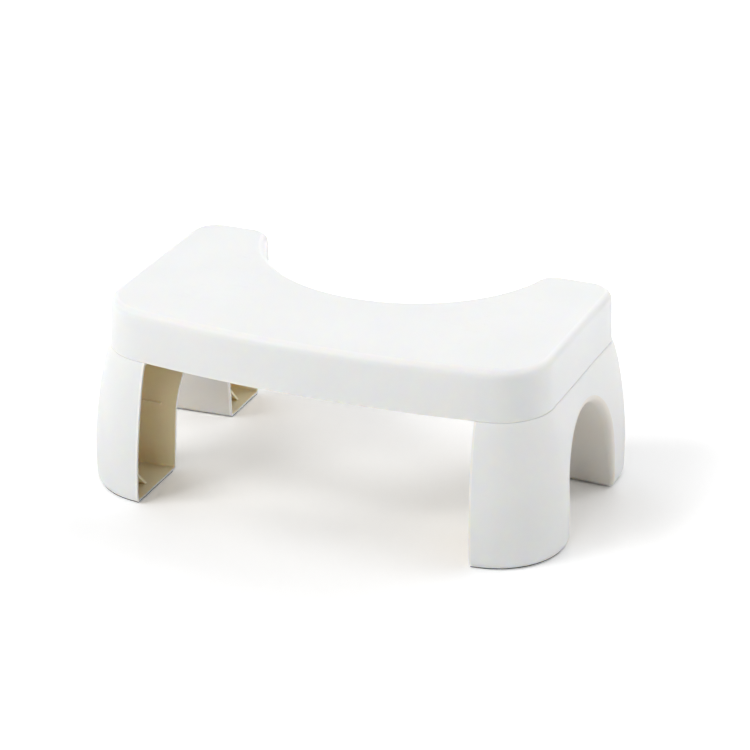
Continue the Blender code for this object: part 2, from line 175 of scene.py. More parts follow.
# Painted light: a tan tint for the legs' inside faces, standing for light passing through and bouncing in the
# walls
LEG_INSIDE_GLOW_TINT = (0.99, 0.865, 0.635)
# Painted light: a milder warm tint for the step's inside faces, standing for light through and between its
# walls
STEP_INSIDE_GLOW_TINT = (0.90, 0.885, 0.83)
RUBBER = (0.045, 0.045, 0.045)
WORN_RUBBER = (0.07, 0.07, 0.068)
DUSTY_RUBBER = (0.12, 0.115, 0.11)

# How dull the surfaces are
OUTSIDE_ROUGHNESS = 0.54
ARCH_ROUGHNESS = 0.56
INSIDE_ROUGHNESS = 0.52
RIM_ROUGHNESS = 0.5
RUBBED_EDGE_ROUGHNESS = 0.42
POLISHED_ROUGHNESS = 0.46
SCRATCHED_ROUGHNESS = 0.7
DUSTY_ROUGHNESS = 0.62
STREAK_ROUGHNESS = 0.6
PIN_ROUGHNESS = 0.5
RUBBER_ROUGHNESS = 0.72
WORN_RUBBER_ROUGHNESS = 0.85
DUSTY_RUBBER_ROUGHNESS = 0.9
ROUGHNESS_SPREAD = 0.03
ROUGHNESS_PATCH_SIZE = 0.03
RUBBED_CHANGE = 0.1

# How far light spreads inside the plastic, and the share of that for red, green and blue
MILKY_REACH = 0.0015
MILKY_SHARES = (1.0, 0.85, 0.6)

# Relief: depths, and sizes along the surface, one number or one along each axis
GRAIN_SIZE = 0.00045
GRAIN_DEPTH = 0.00002
WAVE_SIZE = 0.022
WAVE_DEPTH = 0.00008
SCRATCH_SIZE = (0.06, 0.0022, 0.06)
SCRATCH_TURNS = (0.5, -1.1)
SCRATCH_NARROWNESS = 0.015
SCRATCH_DEPTH = 0.00001
RIB_LINE_REACH = 0.0035
RIB_LINE_DEPTH = 0.000012
SOCKET_LINE_REACH = 0.0016
SOCKET_LINE_DEPTH = 0.00003
DRAW_MARK_SIZE = (0.0011, 0.0011, 0.04)
DRAW_MARK_DEPTH = 0.00002
PIN_RADIUS = 0.003
PIN_LINE_REACH = 0.0004
PIN_DEPTH = 0.00006
GROOVE_SIZE = (0.0003, 0.02, 0.02)
GROOVE_DEPTH = 0.00002
PEBBLE_SIZE = 0.0007
PEBBLE_DEPTH = 0.00012

# Where the marks lie
STANDING_X = 0.125
STANDING_Y = FRONT_Y + 0.115
STANDING_HALF_X = 0.055
STANDING_HALF_Y = 0.085
STANDING_FADE = (1.3, 0.2)
DECK_RIB_PITCH_X = 2 * SOCKET_WALL_X / round(2 * SOCKET_WALL_X / RIB_PITCH)
DECK_RIB_PITCH_Y = (BACK_Y - FRONT_Y) / round((BACK_Y - FRONT_Y) / RIB_PITCH)
DUST_TOP_Z = 0.009
RUBBED_SWELL_REACH = 0.03
# Where the painted glow lies along the skirt's lower rim and the legs' open edges
LOWER_RIM_GLOW = (SEAM_Z + 0.0016, SEAM_Z + 0.0004)
OPEN_EDGE_GLOW = (0.0024, 0.0012)
UNDER_DECK = (DECK_UNDER_Z - 0.003, DECK_UNDER_Z - 0.001)

# Zones by the upward part of a face's direction: no mark at the first value, the full mark at the second
DECK_ZONE = (0.97, 0.995)
EDGE_ZONE = (0.1, 0.4)
EDGE_ZONE_END = (0.98, 0.85)
# Where the painted highlight lies on the top edge's shoulder
SHOULDER_HIGHLIGHT_ZONE = (0.4, 0.75)
SHOULDER_HIGHLIGHT_ZONE_END = (0.9995, 0.96)
SKIRT_ZONE = (0.3, 0.1)
WALL_ZONE = (0.7, 0.3)
# Where painted shade darkens the inside floors
INSIDE_FLOOR_SHADE_ZONE = (0.6, 0.9)

# Studio floor: its two shades, and how much brighter the camera sees it close by and where it has faded out
FLOOR_HALF = 6
FLOOR_SHADE = (0.92, 0.92, 0.92)
FLOOR_MOTTLE = (0.91, 0.91, 0.91)
FLOOR_MOTTLE_SIZE = 0.5
FLOOR_GRAIN_SIZE = 0.002
FLOOR_GRAIN_DEPTH = 0.0001
FLOOR_LIFT = 1.28
FLOOR_FADED_LIFT = 12.0
FLOOR_FADE_START = 0.22
FLOOR_FADE_END = 1.8

# Softboxes: azimuth and elevation in degrees, and power in watts
LAMP_DISTANCE = 5.2
LAMP_SIZE = 2.6
LAMPS = {
    "key": (315, 45, 121),
    "overhead": (0, 90, 35),
    "high_left": (270, 62, 23),
    "front": (0, 28, 57),
    "right": (100, 12, 63),
    "back_right": (135, 45, 65),
    "back": (180, 28, 52),
    "back_left": (225, 28, 34),
}
SKY_LIGHT = 0.03

# Camera: angles in degrees, lens and sensor in millimetres
CAMERA_PLACE = (0.91421, -2.19997, 1.15427)
CAMERA_AZIMUTH = 22.21
CAMERA_ELEVATION = 23.96
CAMERA_ROLL = 0.38
CAMERA_LENS = 146.69
CAMERA_SENSOR = 36


def arc(centre, radius, start, end, steps):
    """Stations along an arc, each a point and the direction away from the arc's centre."""
    stations = []
    for step in range(steps + 1):
        angle = start + (end - start) * step / steps
        away = (math.cos(angle), math.sin(angle))
        stations.append(((centre[0] + radius * away[0], centre[1] + radius * away[1]), away))
    return stations


def straight(start, end, steps, normal=None):
    """Stations along a straight stretch, without its two ends."""
    shares = [step / steps for step in range(1, steps)]
    return [((start[0] + (end[0] - start[0]) * share, start[1] + (end[1] - start[1]) * share), normal)
            for share in shares]


def quarter_turn(steps):
    """Even angles from zero to a right angle."""
    return [math.pi / 2 * step / steps for step in range(steps + 1)]


def bow_station(x):
    """The bowed front edge at x, and its outward direction."""
    slope = 2 * BOW * x / TOP_HALF ** 2
    stretch = math.hypot(1, slope)
    return (x, FRONT_Y + BOW * (x / TOP_HALF) ** 2), (slope / stretch, -1 / stretch)


def bow_end():
    """The x at which the bow meets the front corner's arc, found by halving."""
    low, high = 0, TOP_HALF
    for halving in range(HALVINGS):
        middle = (low + high) / 2
        point, normal = bow_station(middle)
        if point[0] - FRONT_CORNER_RADIUS * normal[0] < TOP_HALF - FRONT_CORNER_RADIUS:
            low = middle
        else:
            high = middle
    return low


def bow_stations(start_x, steps):
    """Stations along the bowed front edge, from an x to the front corner."""
    end_x = bow_end()
    return [bow_station(start_x + (end_x - start_x) * step / steps) for step in range(steps + 1)]


def front_corner():
    """Stations round the front corner, from the bow to the end's straight stretch."""
    point, normal = bow_station(bow_end())
    centre = (point[0] - FRONT_CORNER_RADIUS * normal[0], point[1] - FRONT_CORNER_RADIUS * normal[1])
    return arc(centre, FRONT_CORNER_RADIUS, math.atan2(normal[1], normal[0]), 0, FRONT_CORNER_STEPS)


def end_stations():
    """Front corner, straight end and rear corner."""
    front = front_corner()
    centre = (TOP_HALF - REAR_CORNER_RADIUS, BACK_Y - REAR_CORNER_RADIUS)
    rear = arc(centre, REAR_CORNER_RADIUS, 0, math.pi / 2, REAR_CORNER_STEPS)
    return front[1:] + straight(front[-1][0], rear[0][0], END_STEPS, (1, 0)) + rear


def lip_and_notch():
    """The rounded horn tip and half of the round notch, to the middle of the stool."""
    lip_y = BACK_Y - NOTCH_LIP_RADIUS
    drop = NOTCH_CENTRE_Y - lip_y
    lip_x = math.sqrt((NOTCH_RADIUS + NOTCH_LIP_RADIUS) ** 2 - drop ** 2)
    meet = math.atan2(-drop, lip_x)
    lip = arc((lip_x, lip_y), NOTCH_LIP_RADIUS, math.pi / 2, math.pi + meet, LIP_STEPS)
    notch = arc((0, NOTCH_CENTRE_Y), NOTCH_RADIUS, meet, -math.pi / 2, NOTCH_STEPS)
    return lip, [(point, (-away[0], -away[1])) for point, away in notch]


def top_plan():
    """Stations all round the top, at the lower edge of its skirt."""
    lip, notch = lip_and_notch()
    half = bow_stations(0, BOW_STEPS) + end_stations() + lip + notch[1:]
    other_half = [((-point[0], point[1]), (-normal[0], normal[1])) for point, normal in half[1:-1]]
    return half + other_half[::-1]


def leg_plan(run):
    """Stations round a leg frame's front, outer side and back, run past its open side."""
    start_x = LEG_OPEN_X - run
    end = end_stations()
    back = straight(end[-1][0], (start_x, BACK_Y), LEG_BACK_STEPS, (0, 1))
    return bow_stations(start_x, LEG_BOW_STEPS) + end + back + [((start_x, BACK_Y), (0, 1))]


def swell(z):
    """How far the leg's outside stands out beyond the skirt at height z."""
    if z >= LEG_WIDEST_HEIGHT:
        rise = min((z - LEG_WIDEST_HEIGHT) / (SEAM_Z - LEG_WIDEST_HEIGHT), 1)
        return LEG_SWELL * (1 - rise ** LEG_SWELL_POWER) ** (1 / LEG_SWELL_POWER)
    fall = min((LEG_WIDEST_HEIGHT - z) / (LEG_WIDEST_HEIGHT - FOOT_Z), 1)
    return LEG_SWELL - FOOT_TUCK * fall ** FOOT_TUCK_POWER


def open_side_x(z):
    """Where a leg's open side stands at height z; below the seam it leans in under the top."""
    return LEG_OPEN_X + max(SEAM_Z - z, 0) * math.tan(OPEN_SIDE_LEAN)


def ring(stations, offset, z):
    """The plan's outline, moved outwards by an offset, at one height."""
    return [(point[0] + normal[0] * offset, point[1] + normal[1] * offset, z) for point, normal in stations]


def loft(name, rings, material):
    """A closed solid through rings of the same number of points, by extruding its end face."""
    bm = bmesh.new()
    station = bm.verts.layers.int.new("station")
    corners = []
    for index, place in enumerate(rings[0]):
        vert = bm.verts.new(place)
        vert[station] = index
        corners.append(vert)
    start = face = bm.faces.new(corners)
    for places in rings[1:]:
        made = bmesh.ops.extrude_face_region(bm, geom=[face])["geom"]
        if face != start:
            bmesh.ops.delete(bm, geom=[face], context="FACES_ONLY")
        face = next(item for item in made if isinstance(item, bmesh.types.BMFace))
        for vert in face.verts:
            vert.co = places[vert[station]]
    bmesh.ops.recalc_face_normals(bm, faces=bm.faces)
    mesh = bpy.data.meshes.new(name)
    bm.to_mesh(mesh)
    bm.free()
    mesh.materials.append(material)
    solid = bpy.data.objects.new(name, mesh)
    bpy.context.collection.objects.link(solid)
    return solid


def block(name, low, high, material):
    """A box between two corners."""
    base = [(low[0], low[1]), (high[0], low[1]), (high[0], high[1]), (low[0], high[1])]
    return loft(name, [[(x, y, z) for x, y in base] for z in (low[2], high[2])], material)


def boolean(target, operation, tool):
    """Cuts, joins or intersects two solids, keeps each one's material, and clears the tool away."""
    change = target.modifiers.new(tool.name, "BOOLEAN")
    change.operation = operation
    change.solver = "EXACT"
    change.material_mode = "TRANSFER"
    change.object = tool
    depsgraph = bpy.context.evaluated_depsgraph_get()
    shape = bpy.data.meshes.new_from_object(target.evaluated_get(depsgraph))
    target.modifiers.clear()
    target.data = shape
    bpy.data.objects.remove(tool)


def cut(target, tool):
    """Takes one solid away from another."""
    boolean(target, "DIFFERENCE", tool)


def skirt_inset(z):
    """How far the skirt's outside leans in at height z."""
    return (z - SEAM_Z) * math.tan(SKIRT_DRAFT)


def dome_rings(stations, wall, crown_z, radius):
    """Rings from the skirt's straight side over the rounded top edge to the flat crown."""
    start_z = crown_z - radius
    rings = []
    for turn in quarter_turn(TOP_EDGE_STEPS):
        inset = skirt_inset(start_z) + wall + radius * (1 - math.cos(turn))
        rings.append(ring(stations, -inset, start_z + radius * math.sin(turn)))
    return rings


def lip_rings(stations):
    """Rings round the outer rounding of the skirt's lower edge."""
    rings = []
    for turn in quarter_turn(SKIRT_EDGE_STEPS):
        inset = SKIRT_EDGE_RADIUS * (1 - math.sin(turn))
        rings.append(ring(stations, -inset, SEAM_Z + SKIRT_EDGE_RADIUS * (1 - math.cos(turn))))
    return rings


def rib_places(low, high):
    """Places that part the space between two walls evenly, as near to the rib pitch as fits."""
    count = max(round((high - low) / RIB_PITCH), 1)
    return [low + (high - low) * step / count for step in range(1, count)]


def even_shading(piece):
    """Weighs the smooth shading by the faces' sizes, so that flat faces look flat."""
    weighting = piece.modifiers.new("even_shading", "WEIGHTED_NORMAL")
    weighting.keep_sharp = True


def soften(piece, width):
    """Welds a cut solid's seams, rounds its sharp edges and shades it smooth."""
    bm = bmesh.new()
    bm.from_mesh(piece.data)
    bmesh.ops.remove_doubles(bm, verts=bm.verts, dist=WELD)
    bmesh.ops.dissolve_degenerate(bm, dist=WELD, edges=bm.edges)
    sharp = [edge for edge in bm.edges if edge.is_manifold and edge.calc_face_angle() > SHARP_EDGE]
    bmesh.ops.bevel(bm, geom=sharp, offset=width, offset_type="OFFSET", affect="EDGES", segments=2,
                    profile=0.5, material=-1, clamp_overlap=True)
    bm.to_mesh(piece.data)
    bm.free()
    piece.data.shade_smooth()
    piece.data.set_sharp_from_angle(angle=SHARP_EDGE)
    even_shading(piece)
    return piece


def make_top(outside, inside):
    """The step: a notched cap with a tapered skirt, a rib lattice and two leg sockets."""
    plan = top_plan()
    dome = dome_rings(plan, 0, HEIGHT, TOP_EDGE_RADIUS)
    crown = ring(plan, -CROWN_INSET, HEIGHT)
    top = loft("step_moulding", lip_rings(plan) + dome + [crown], outside)
    mouth = ring(plan, -SKIRT_WALL, SEAM_Z - OVERRUN)
    under = dome_rings(plan, SKIRT_WALL, DECK_UNDER_Z, TOP_EDGE_RADIUS - SKIRT_WALL)
    hollow = loft("step_hollow", [mouth] + under, inside)
    half_rib = RIB_THICKNESS / 2
    cross_ribs = rib_places(-SOCKET_WALL_X, SOCKET_WALL_X)
    cross_ribs += rib_places(-TOP_HALF, -SOCKET_WALL_X - RIB_THICKNESS)
    cross_ribs += rib_places(SOCKET_WALL_X + RIB_THICKNESS, TOP_HALF)
    walls = [(x, RIB_UNDER_Z) for x in cross_ribs]
    walls += [(side * SOCKET_WALL_X, SEAM_Z + SOCKET_WALL_LIFT) for side in (1, -1)]
    for x, under_z in walls:
        low = (x - half_rib, FRONT_Y - OVERRUN, under_z)
        high = (x + half_rib, BACK_Y + OVERRUN, HEIGHT + OVERRUN)
        cut(hollow, block("cross_wall", low, high, inside))
    for y in rib_places(FRONT_Y, BACK_Y):
        low = (-TOP_HALF - OVERRUN, y - half_rib, RIB_UNDER_Z)
        high = (TOP_HALF + OVERRUN, y + half_rib, HEIGHT + OVERRUN)
        cut(hollow, block("long_wall", low, high, inside))
    cut(top, hollow)
    return soften(top, PLASTIC_EDGE)


def leg_levels(bottom_z, top_z):
    """Heights for the leg's rings, closer together at the floor and under the seam."""
    drop = LEG_WIDEST_HEIGHT - bottom_z
    low = [bottom_z + drop * (1 - math.cos(turn)) for turn in quarter_turn(TUCK_STEPS)[:-1]]
    rise = top_z - LEG_WIDEST_HEIGHT
    return low + [LEG_WIDEST_HEIGHT + rise * math.sin(turn) for turn in quarter_turn(SWELL_STEPS)]


def leg_body(name, inset, bottom_z, top_z, run, material):
    """The leg's swelling body below the seam, solid, or set in for its hollow."""
    plan = leg_plan(run)
    return loft(name, [ring(plan, swell(z) - inset, z) for z in leg_levels(bottom_z, top_z)], material)


def neck_body(name, inset, bottom_z, top_z, run, material):
    """The part of the leg that stands inside the skirt and follows its taper."""
    plan = leg_plan(run)
    return loft(name, [ring(plan, -inset - skirt_inset(z), z) for z in (bottom_z, top_z)], material)


def arch_reach(radius, spread, z):
    """How far an arch of this radius reaches to one side of its crown's middle at height z."""
    rise = z - ARCH_SPRING_HEIGHT
    if rise < radius * math.sin(spread):
        return radius / math.cos(spread) - rise * math.tan(spread)
    return math.sqrt(radius ** 2 - rise ** 2)


def arch_middle_y(x):
    """The middle of the arch's crown at x; the skew moves it back on the way in."""
    return ARCH_Y + (LEG_END_X - x) * math.tan(ARCH_SKEW)


def arch_radius(x):
    """The radius of the arch's crown at x; the draft widens it on the way in."""
    return ARCH_RADIUS + (LEG_END_X - x) * math.tan(ARCH_DRAFT)


def arch_sides(x, wall, z):
    """The Y of the arch's front and rear side at x and height z, moved out by a wall."""
    radius = arch_radius(x) + wall
    front_y = arch_middle_y(x) - arch_reach(radius, ARCH_FRONT_SPREAD, z)
    return front_y, arch_middle_y(x) + arch_reach(radius, ARCH_REAR_SPREAD, z)


def arch_section(x, wall, corner_radius, flare=0):
    """Round crown on spreading sides with rounded feet, as points in Y and Z. A flare widens it,
    less so towards the floor."""
    sharpen = math.atan(flare * (1 - FLOOR_EDGE_SHARE) / ARCH_SPRING_HEIGHT)
    front_spread = ARCH_FRONT_SPREAD - sharpen
    rear_spread = ARCH_REAR_SPREAD - sharpen
    radius = arch_radius(x) + wall + flare
    middle_y = arch_middle_y(x)
    corner_z = FOOT_Z + FOOT_CORNER_RADIUS
    front_y = middle_y - arch_reach(radius + corner_radius, front_spread, corner_z)
    rear_y = middle_y + arch_reach(radius + corner_radius, rear_spread, corner_z)
    front_turn = (-FOOT_CORNER_END, -front_spread)
    crown_turn = (math.pi - front_spread, rear_spread)
    rear_turn = (math.pi + rear_spread, math.pi + FOOT_CORNER_END)
    front = arc((front_y, corner_z), corner_radius, *front_turn, FOOT_CORNER_STEPS)
    crown = arc((middle_y, ARCH_SPRING_HEIGHT), radius, *crown_turn, ARCH_CROWN_STEPS)
    rear = arc((rear_y, corner_z), corner_radius, *rear_turn, FOOT_CORNER_STEPS)
    front_side = straight(front[-1][0], crown[0][0], ARCH_SIDE_STEPS)
    rear_side = straight(crown[-1][0], rear[0][0], ARCH_SIDE_STEPS)
    points = [point for point, away in front + front_side + crown + rear_side + rear]
    return [(points[0][0], -OVERRUN)] + points + [(points[-1][0], -OVERRUN)]


def edge_share(z):
    """The share of its radius that the arch's outer edge has at height z."""
    rise = min(max(z / ARCH_SPRING_HEIGHT, 0), 1)
    return FLOOR_EDGE_SHARE + (1 - FLOOR_EDGE_SHARE) * rise


def arch_tunnel(name, wall, material):
    """The space through the arch, or with a wall the space's skin, rounded at its outer edge."""
    corner_radius = FOOT_CORNER_RADIUS - wall
    rings = [[(PAST_OPEN_X, y, z) for y, z in arch_section(PAST_OPEN_X, wall, corner_radius)]]
    tip = ARCH_EDGE_RADIUS - wall
    edge = []
    for step in range(ARCH_EDGE_STEPS + 1):
        angle = ARCH_EDGE_END * step / ARCH_EDGE_STEPS
        edge.append((-wall - tip * (1 - math.sin(angle)), tip * (1 - math.cos(angle))))
    depth, flare = edge[-1]
    edge.append((ARCH_OVERRUN, flare + (ARCH_OVERRUN - depth) * math.tan(ARCH_EDGE_END)))
    for depth, flare in edge:
        section = arch_section(LEG_END_X, wall, corner_radius, flare)
        rings.append([(TOP_HALF + swell(z) + depth * edge_share(z), y, z) for y, z in section])
    rings.append([(LEG_END_X + 2 * OVERRUN, y, z) for y, z in section])
    return loft(name, rings, material)


def brace_space(name, wall_y, material):
    """The slanting web between the wall at a foot's front and the foot's floor."""
    floor_z = FOOT_Z + LEG_FLOOR
    lean = BRACE_THICKNESS * math.sqrt(2)
    low_y = wall_y + BRACE_REACH + OVERRUN
    high_y = wall_y - OVERRUN
    low_z = floor_z - OVERRUN
    high_z = floor_z + BRACE_REACH + OVERRUN
    section = [(high_y, high_z), (low_y, low_z), (low_y - lean, low_z), (high_y, high_z - lean)]
    ends = (LEG_OPEN_X + WEB_SETBACK, LEG_END_X + OVERRUN)
    return loft(name, [[(x, y, z) for y, z in section] for x in ends], material)


def ledge_space(name, material):
    """A low ledge along the arch's skin, inside each foot."""
    open_x = LEG_OPEN_X + LEDGE_SETBACK
    front_y, rear_y = arch_sides(open_x, LEG_WALL + LEDGE_PROUD, LEDGE_HEIGHT)
    low = (open_x, front_y, LEDGE_HEIGHT - LEDGE_THICKNESS / 2)
    high = (LEG_END_X + OVERRUN, rear_y, LEDGE_HEIGHT + LEDGE_THICKNESS / 2)
    return block(name, low, high, material)


def pad_solid(name, foot, inset, bottom_z, top_z, material):
    """A flat pad under one foot, set in from the foot's edges."""
    pad = loft(name, [ring(leg_plan(OVERRUN), swell(FOOT_Z) - inset, z) for z in (bottom_z, top_z)], material)
    open_x = open_side_x(FOOT_Z)
    corner_z = FOOT_Z + FOOT_CORNER_RADIUS
    front_y = arch_sides(LEG_END_X, FOOT_CORNER_RADIUS, corner_z)[0] - inset
    rear_y = arch_sides(open_x, FOOT_CORNER_RADIUS, corner_z)[1] + inset
    ys = (-PAST_BACK_Y, front_y) if foot == "front" else (rear_y, PAST_BACK_Y)
    low = (open_x + inset, ys[0], bottom_z - OVERRUN)
    high = (LEG_END_X + OVERRUN, ys[1], top_z + OVERRUN)
    boolean(pad, "INTERSECT", block(name + "_bounds", low, high, material))
    return pad


def open_side_space(material):
    """What is trimmed off a leg to leave its open side flat."""
    section = [(PAST_OPEN_X, -OVERRUN), (open_side_x(-OVERRUN), -OVERRUN), (LEG_OPEN_X, SEAM_Z)]
    section += [(LEG_OPEN_X, HEIGHT), (PAST_OPEN_X, HEIGHT)]
    ends = (-PAST_BACK_Y, PAST_BACK_Y)
    return loft("open_side", [[(x, y, z) for x, z in section] for y in ends], material)


def make_leg(outside, inside, arch, glowing_rim):
    """The right leg frame: a dish open towards the middle, with two feet, an arch and a neck."""
    leg = leg_body("leg_moulding_right", 0, FOOT_Z, SHOULDER_Z, OVERRUN, outside)
    neck_start = SHOULDER_Z - SHOULDER_THICKNESS / 2
    neck = neck_body("neck", NECK_INSET, neck_start, ROOF_Z, OVERRUN + RUN_STEP, outside)
    boolean(leg, "UNION", neck)
    cut(leg, arch_tunnel("arch", 0, arch))

    floor_z = FOOT_Z + LEG_FLOOR
    shoulder_under_z = SHOULDER_Z - SHOULDER_THICKNESS
    hollow = leg_body("hollow", LEG_WALL, floor_z, shoulder_under_z, OVERRUN + 2 * RUN_STEP, inside)
    neck_ends = (shoulder_under_z - SHOULDER_THICKNESS, ROOF_Z - ROOF_THICKNESS)
    neck_hollow = neck_body("neck_hollow", NECK_INSET + NECK_WALL, *neck_ends, OVERRUN + 3 * RUN_STEP, inside)
    boolean(hollow, "UNION", neck_hollow)
    cut(hollow, arch_tunnel("arch_skin", LEG_WALL, inside))
    front_wall_y = bow_station(LEG_OPEN_X)[0][1] - swell(floor_z) + LEG_WALL
    rear_wall_y = arch_sides(LEG_OPEN_X + WEB_SETBACK, LEG_WALL, floor_z)[1]
    cut(hollow, brace_space("front_brace", front_wall_y, inside))
    cut(hollow, brace_space("rear_brace", rear_wall_y, inside))
    cut(hollow, ledge_space("ledge", inside))
    cut(leg, hollow)
    for foot in ("front", "back"):
        inset = PAD_INSET - PAD_CLEARANCE
        cut(leg, pad_solid("recess", foot, inset, FOOT_Z - OVERRUN, PAD_RECESS_Z, outside))
    cut(leg, open_side_space(glowing_rim))
    return soften(leg, PLASTIC_EDGE)


def mirrored(piece, name):
    """The same piece for the other end of the stool."""
    mesh = piece.data.copy()
    mesh.transform(Matrix.Scale(-1, 4, (1, 0, 0)))
    mesh.flip_normals()
    twin = bpy.data.objects.new(name, mesh)
    bpy.context.collection.objects.link(twin)
    even_shading(twin)
    return twin


def make_pad(name, foot, rubber):
    """A rubber pad seated in the foot, with a thin lip that reaches out under the foot's edge. The lip's dark
    rubber also stands for the contact shade under that edge: partly painted shade.
    """
    pad = pad_solid(name, foot, PAD_INSET, 0, PAD_TOP_Z, rubber)
    # Partly painted shade: the lip brings the dark rubber out to stand for contact shade under the foot's
    # edge
    lip = pad_solid(name + "_lip", foot, PAD_SHADE_LIP_INSET, PAD_SHADE_LIP_GAP, FOOT_Z - PAD_SHADE_LIP_GAP, rubber)
    boolean(pad, "UNION", lip)
    return soften(pad, RUBBER_EDGE)


def add_node(tree, kind, sockets=None, **options):
    """Adds a node, sets its options, and sets or links its sockets."""
    made = tree.nodes.new("ShaderNode" + kind)
    for option, value in options.items():
        setattr(made, option, value)
    for socket, value in (sockets or {}).items():
        if isinstance(value, bpy.types.NodeSocket):
            tree.links.new(value, made.inputs[socket])
        else:
            made.inputs[socket].default_value = value
    return made


def calculate(tree, operation, first, second=0.0):
    """One sum on two values or sockets."""
    return add_node(tree, "Math", {0: first, 1: second}, operation=operation).outputs[0]


def product(tree, first, second):
    """Two values or sockets multiplied."""
    return calculate(tree, "MULTIPLY", first, second)


def squared(tree, value):
    """A socket's square."""
    return calculate(tree, "POWER", value, 2.0)


def mixed(tree, share, first, second):
    """A value that goes from the first to the second as share goes from 0 to 1."""
    return add_node(tree, "Mix", {0: share, 2: first, 3: second}).outputs[0]


def mixed_colour(tree, share, first, second):
    """The same for two colours; the first may be a socket."""
    start = first if isinstance(first, bpy.types.NodeSocket) else (*first, 1)
    return add_node(tree, "Mix", {0: share, 6: start, 7: (*second, 1)}, data_type="RGBA").outputs[2]


def ramp(tree, value, start, end, low=0.0, high=1.0):
    """Turns a value from start to end smoothly into one from low to high, and holds it outside them."""
    sockets = {"Value": value, "From Min": start, "From Max": end, "To Min": low, "To Max": high}
    return add_node(tree, "MapRange", sockets, interpolation_type="SMOOTHSTEP").outputs["Result"]


def patches(tree, place, size, detail=2.0, turn=0.0):
    """Soft random patches; their size is in metres, one number or one along each axis."""
    lengths = size if isinstance(size, tuple) else (size, size, size)
    sockets = {"Vector": place, "Rotation": (0, 0, turn), "Scale": [1 / length for length in lengths]}
    spread = add_node(tree, "Mapping", sockets).outputs[0]
    return add_node(tree, "TexNoise", {"Vector": spread, "Scale": 1.0, "Detail": detail}).outputs[0]


def near(tree, value, middle, reach):
    """A share that is 1 where a value is at the middle and 0 from a reach away."""
    away = calculate(tree, "ABSOLUTE", calculate(tree, "SUBTRACT", value, middle))
    return ramp(tree, away, reach, 0.0)


def repeated(tree, value, start, pitch):
    """The distance from a value to the nearest of evenly spaced places."""
    return calculate(tree, "PINGPONG", calculate(tree, "SUBTRACT", value, start), pitch / 2)


def shaded(colour, share):
    """A colour at a share of its brightness."""
    return tuple(part * share for part in colour)


def blotches(finish, size, bare, full, detail=3.0, turn=0.0, most=1.0):
    """A share that is 0 where random patches lie below bare, and at its most where they pass full."""
    return ramp(finish.tree, patches(finish.tree, finish.place, size, detail, turn), bare, full, 0.0, most)


def zone(finish, limits):
    """A share for one of the zones by the upward part of a face's direction."""
    return ramp(finish.tree, finish.up, *limits)


def start_finish(name, colour, roughness):
    """A material under work: its places, and the tone, gloss and relief that marks are laid over."""
    material = bpy.data.materials.new(name)
    material.use_nodes = True
    tree = material.node_tree
    coordinates = add_node(tree, "TexCoord")
    place = coordinates.outputs["Object"]
    parts = add_node(tree, "SeparateXYZ", {0: place}).outputs
    facing = add_node(tree, "SeparateXYZ", {0: coordinates.outputs["Normal"]}).outputs
    finish = SimpleNamespace(material=material, tree=tree, place=place, x=parts[0], y=parts[1], z=parts[2],
                             up=facing[2], relief=None)
    cloud = blotches(finish, size=0.09, bare=0.35, full=0.65)
    finish.tone = mixed_colour(tree, cloud, colour, shaded(colour, 0.98))
    uneven = patches(tree, place, ROUGHNESS_PATCH_SIZE)
    finish.gloss = ramp(tree, uneven, 0.3, 0.7, roughness - ROUGHNESS_SPREAD, roughness + ROUGHNESS_SPREAD)
    return finish


def lay_mark(finish, share, colour=None, roughness=None, strength=None):
    """Lays another colour or gloss over the finish, as far as share goes, at full or lesser strength."""
    if strength is not None:
        share = product(finish.tree, share, strength)
    if colour is not None:
        finish.tone = mixed_colour(finish.tree, share, finish.tone, colour)
    if roughness is not None:
        finish.gloss = mixed(finish.tree, share, finish.gloss, roughness)


def press(finish, height, metres):
    """Adds a height between 0 and 1 to the relief, at a scale in metres."""
    scaled = product(finish.tree, height, metres)
    finish.relief = scaled if finish.relief is None else calculate(finish.tree, "ADD", finish.relief, scaled)


def end_finish(finish):
    """Joins the finished tone, gloss and relief to the shader."""
    shader = finish.tree.nodes["Principled BSDF"]
    bump = add_node(finish.tree, "Bump", {"Height": finish.relief, "Distance": 1.0, "Strength": 1.0})
    finish.tree.links.new(finish.tone, shader.inputs["Base Color"])
    finish.tree.links.new(finish.gloss, shader.inputs["Roughness"])
    finish.tree.links.new(bump.outputs[0], shader.inputs["Normal"])
    return finish.material


def start_plastic(name, colour, roughness):
    """Milky white plastic with a fine eroded grain and the slight waves of a thin moulding."""
    finish = start_finish(name, colour, roughness)
    shader = finish.tree.nodes["Principled BSDF"]
    shader.inputs["Subsurface Weight"].default_value = 1.0
    shader.inputs["Subsurface Radius"].default_value = MILKY_SHARES
    shader.inputs["Subsurface Scale"].default_value = MILKY_REACH
    press(finish, patches(finish.tree, finish.place, GRAIN_SIZE), GRAIN_DEPTH)
    press(finish, patches(finish.tree, finish.place, WAVE_SIZE), WAVE_DEPTH)
    rubbed = blotches(finish, size=0.006, bare=0.45, full=0.75)
    lay_mark(finish, rubbed, roughness=roughness + RUBBED_CHANGE, strength=0.3)
    return finish


def fine_scratches(finish, turn):
    """Thin broken lines that run one way."""
    lines = patches(finish.tree, finish.place, SCRATCH_SIZE, 1.0, turn)
    lines = near(finish.tree, lines, 0.5, SCRATCH_NARROWNESS)
    broken = blotches(finish, size=0.018, bare=0.5, full=0.62, turn=turn)
    return product(finish.tree, lines, broken)


